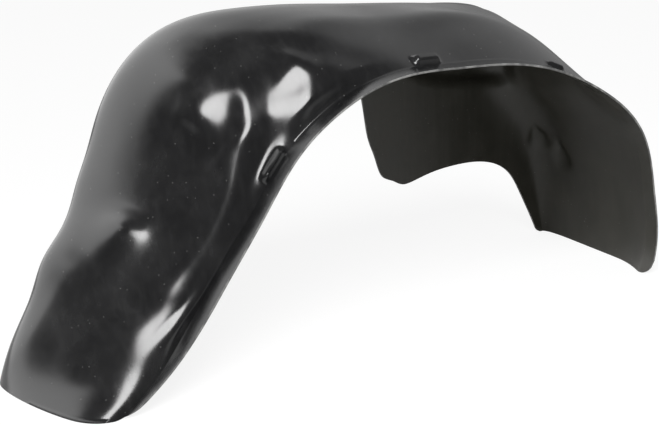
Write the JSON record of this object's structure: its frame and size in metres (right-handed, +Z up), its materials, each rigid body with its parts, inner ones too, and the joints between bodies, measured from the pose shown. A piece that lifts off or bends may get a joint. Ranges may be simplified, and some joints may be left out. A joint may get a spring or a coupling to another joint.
{
  "type": "wheel arch liner",
  "caption": "Formed plastic liner that lines the inside of a car's wheel arch: a curved band over the wheel with a rim flange, formed clip bosses and a part-depth inner wall.",
  "frame": {"origin": "under the middle of the liner's box, on the plane that both feet stand on", "axes": "+X along the arch from the front foot to the rear foot, +Y across the wheel from the rim flange to the inner wall, +Z up"},
  "size_m": [0.8666, 0.2452, 0.3748],
  "materials": {
    "liner_plastic": "glossy black formed sheet"
  },
  "bodies": {
    "root": {"arch_liner": "liner_plastic"}
  },
  "joints": []
}
